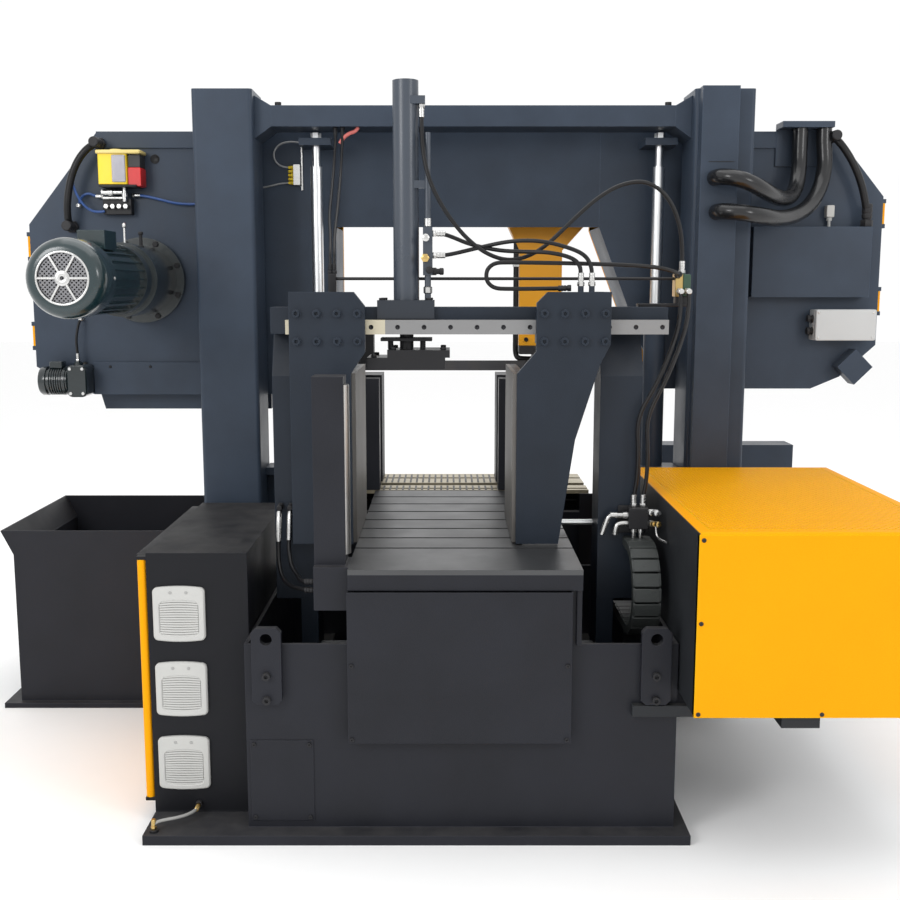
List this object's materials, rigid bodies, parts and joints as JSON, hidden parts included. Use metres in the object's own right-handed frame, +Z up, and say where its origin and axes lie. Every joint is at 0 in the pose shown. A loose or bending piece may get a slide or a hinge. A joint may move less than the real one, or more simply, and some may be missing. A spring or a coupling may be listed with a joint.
{
  "type": "twin pillar metal band saw",
  "caption": "Horizontal metal band saw: a bow with band and wheels slides on two pillars, a shuttle with jaws and an overhead clamp feeds the bar along a slatted bed",
  "frame": {"origin": "on the floor, half way between the pillars, in the plane of their centres", "axes": "+X to the right seen from the infeed side, +Y with the feed, towards the cutting line, +Z up"},
  "size_m": [3.483, 2.17, 2.362],
  "materials": {
    "dark_paint": "fine textured powder coat, dark blue grey",
    "yellow_paint": "semi gloss powder coat",
    "machined_steel": "milled and ground",
    "chromed_steel": "hard chrome",
    "band_steel": "rolled strip",
    "wheel_iron": "turned casting",
    "motor_paint": "gloss enamel, dark blue green",
    "fan_plastic": "moulded",
    "vent_plastic": "moulded, light grey",
    "lubricator_plastic": "moulded",
    "brush_wire": "wire",
    "tank_paint": "semi gloss",
    "green_plastic": "moulded",
    "red_plastic": "moulded",
    "chain_plastic": "moulded links",
    "hose_rubber": "smooth",
    "lead_sheath": "smooth"
  },
  "bodies": {
    "base": {"main_base": "dark_paint", "pillar_left": "dark_paint", "pillar_right": "dark_paint", "tie_beam": "dark_paint", "guide_rails": "machined_steel", "lift_cylinders": "dark_paint", "base_tub": "dark_paint", "front_covers": "dark_paint", "base_fasteners": "machined_steel", "feed_bed": "dark_paint", "bed_slats": "machined_steel", "cabinet_shell": "dark_paint", "filter_vents": "vent_plastic", "earth_lead": "lead_sheath", "hydraulic_cover": "yellow_paint", "hydraulic_unit": "tank_paint", "chip_bin": "dark_paint", "control_desk": "dark_paint", "main_jaw_fixed": "machined_steel", "base_cylinders": "dark_paint", "conduits": "hose_rubber", "feed_hoses": "hose_rubber"},
    "cabinet_door": {"cabinet_door": "yellow_paint"},
    "guide_roller": {"guide_roller": "machined_steel"},
    "start_button": {"start_button": "green_plastic"},
    "emergency_stop": {"emergency_stop": "red_plastic"},
    "main_jaw": {"main_jaw_moving": "machined_steel"},
    "saw_bow": {"bow_frame": "dark_paint", "bow_brackets": "dark_paint", "lift_rods": "chromed_steel", "gearbox": "motor_paint", "drive_motor": "motor_paint", "fan_cowl": "motor_paint", "saw_band": "band_steel", "guide_arm_fixed": "dark_paint", "bow_covers": "dark_paint", "junction_box": "vent_plastic", "lubricator": "lubricator_plastic", "brush_motor": "motor_paint", "bow_hoses": "hose_rubber"},
    "drive_wheel": {"drive_wheel": "wheel_iron"},
    "idler_wheel": {"idler_wheel": "wheel_iron"},
    "motor_fan": {"motor_fan": "fan_plastic"},
    "chip_brush": {"chip_brush": "brush_wire"},
    "guide_arm": {"guide_arm": "yellow_paint"},
    "left_wheel_door": {"left_wheel_door": "yellow_paint"},
    "right_wheel_door": {"right_wheel_door": "yellow_paint"},
    "shuttle": {"shuttle_posts": "dark_paint", "crossbeam": "dark_paint", "clamp_rail": "machined_steel", "clamp_cylinders": "dark_paint", "valve_block": "machined_steel", "drag_chain": "chain_plastic", "shuttle_hoses": "hose_rubber", "jaw_hoses": "hose_rubber"},
    "datum_jaw": {"datum_jaw": "dark_paint", "datum_liner": "machined_steel"},
    "clamp_jaw": {"clamp_jaw": "dark_paint", "clamp_liner": "machined_steel"},
    "clamp_ram": {"clamp_ram": "machined_steel"}
  },
  "joints": [
    {"name": "bow_lift", "type": "slide", "parent": "base", "child": "saw_bow", "axis": [0, 0, 1], "range_m": [-0.484, 0], "deforming": ["conduits"]},
    {"name": "drive_spin", "type": "hinge", "parent": "saw_bow", "child": "drive_wheel", "pos_m": [-1.29, 0.32, 1.68], "axis": [0, 1, 0], "continuous": true},
    {"name": "idler_spin", "type": "hinge", "parent": "saw_bow", "child": "idler_wheel", "pos_m": [1.195, 0.32, 1.68], "axis": [0, 1, 0], "continuous": true},
    {"name": "fan_spin", "type": "hinge", "parent": "saw_bow", "child": "motor_fan", "pos_m": [-1.29, -0.7, 1.68], "axis": [0, 1, 0], "continuous": true},
    {"name": "brush_spin", "type": "hinge", "parent": "saw_bow", "child": "chip_brush", "pos_m": [-1.54, 0.2, 1.345], "axis": [0, 1, 0], "continuous": true},
    {"name": "guide_arm_slide", "type": "slide", "parent": "saw_bow", "child": "guide_arm", "axis": [-1, 0, 0], "range_m": [0, 0.3]},
    {"name": "left_door_swing", "type": "hinge", "parent": "saw_bow", "child": "left_wheel_door", "pos_m": [-1.745, 0.217, 1.68], "axis": [0, 0, 1], "range_deg": [0, 105]},
    {"name": "right_door_swing", "type": "hinge", "parent": "saw_bow", "child": "right_wheel_door", "pos_m": [1.62, 0.217, 1.68], "axis": [0, 0, -1], "range_deg": [0, 105]},
    {"name": "main_jaw_close", "type": "slide", "parent": "base", "child": "main_jaw", "axis": [-1, 0, 0], "range_m": [0, 0.3]},
    {"name": "shuttle_feed", "type": "slide", "parent": "base", "child": "shuttle", "axis": [0, 1, 0], "range_m": [0, 0.4], "deforming": ["feed_hoses", "drag_chain"]},
    {"name": "datum_jaw_close", "type": "slide", "parent": "shuttle", "child": "datum_jaw", "axis": [1, 0, 0], "range_m": [0, 0.015]},
    {"name": "clamp_jaw_close", "type": "slide", "parent": "shuttle", "child": "clamp_jaw", "axis": [-1, 0, 0], "range_m": [0, 0.3], "deforming": ["jaw_hoses"]},
    {"name": "clamp_press", "type": "slide", "parent": "shuttle", "child": "clamp_ram", "axis": [0, 0, 1], "range_m": [-0.5, 0]},
    {"name": "cabinet_door_swing", "type": "hinge", "parent": "base", "child": "cabinet_door", "pos_m": [-1.023, -0.967, 0.456], "axis": [0, 0, 1], "range_deg": [0, 110]},
    {"name": "guide_roller_spin", "type": "hinge", "parent": "base", "child": "guide_roller", "pos_m": [-0.414, -1.001, 1.1], "axis": [0, 0, 1], "continuous": true},
    {"name": "start_press", "type": "slide", "parent": "base", "child": "start_button", "axis": [0, 0.7619, 0.6476], "range_m": [-0.004, 0], "stiffness_N_per_m": 800},
    {"name": "stop_press", "type": "slide", "parent": "base", "child": "emergency_stop", "axis": [0, 0.7619, 0.6476], "range_m": [-0.004, 0], "stiffness_N_per_m": 1500}
  ],
  "couplings": [
    {"joint": "idler_spin", "follows": "drive_spin", "ratio": 1},
    {"joint": "fan_spin", "follows": "drive_spin", "ratio": 36},
    {"joint": "guide_arm_slide", "follows": "main_jaw_close", "ratio": 1}
  ]
}
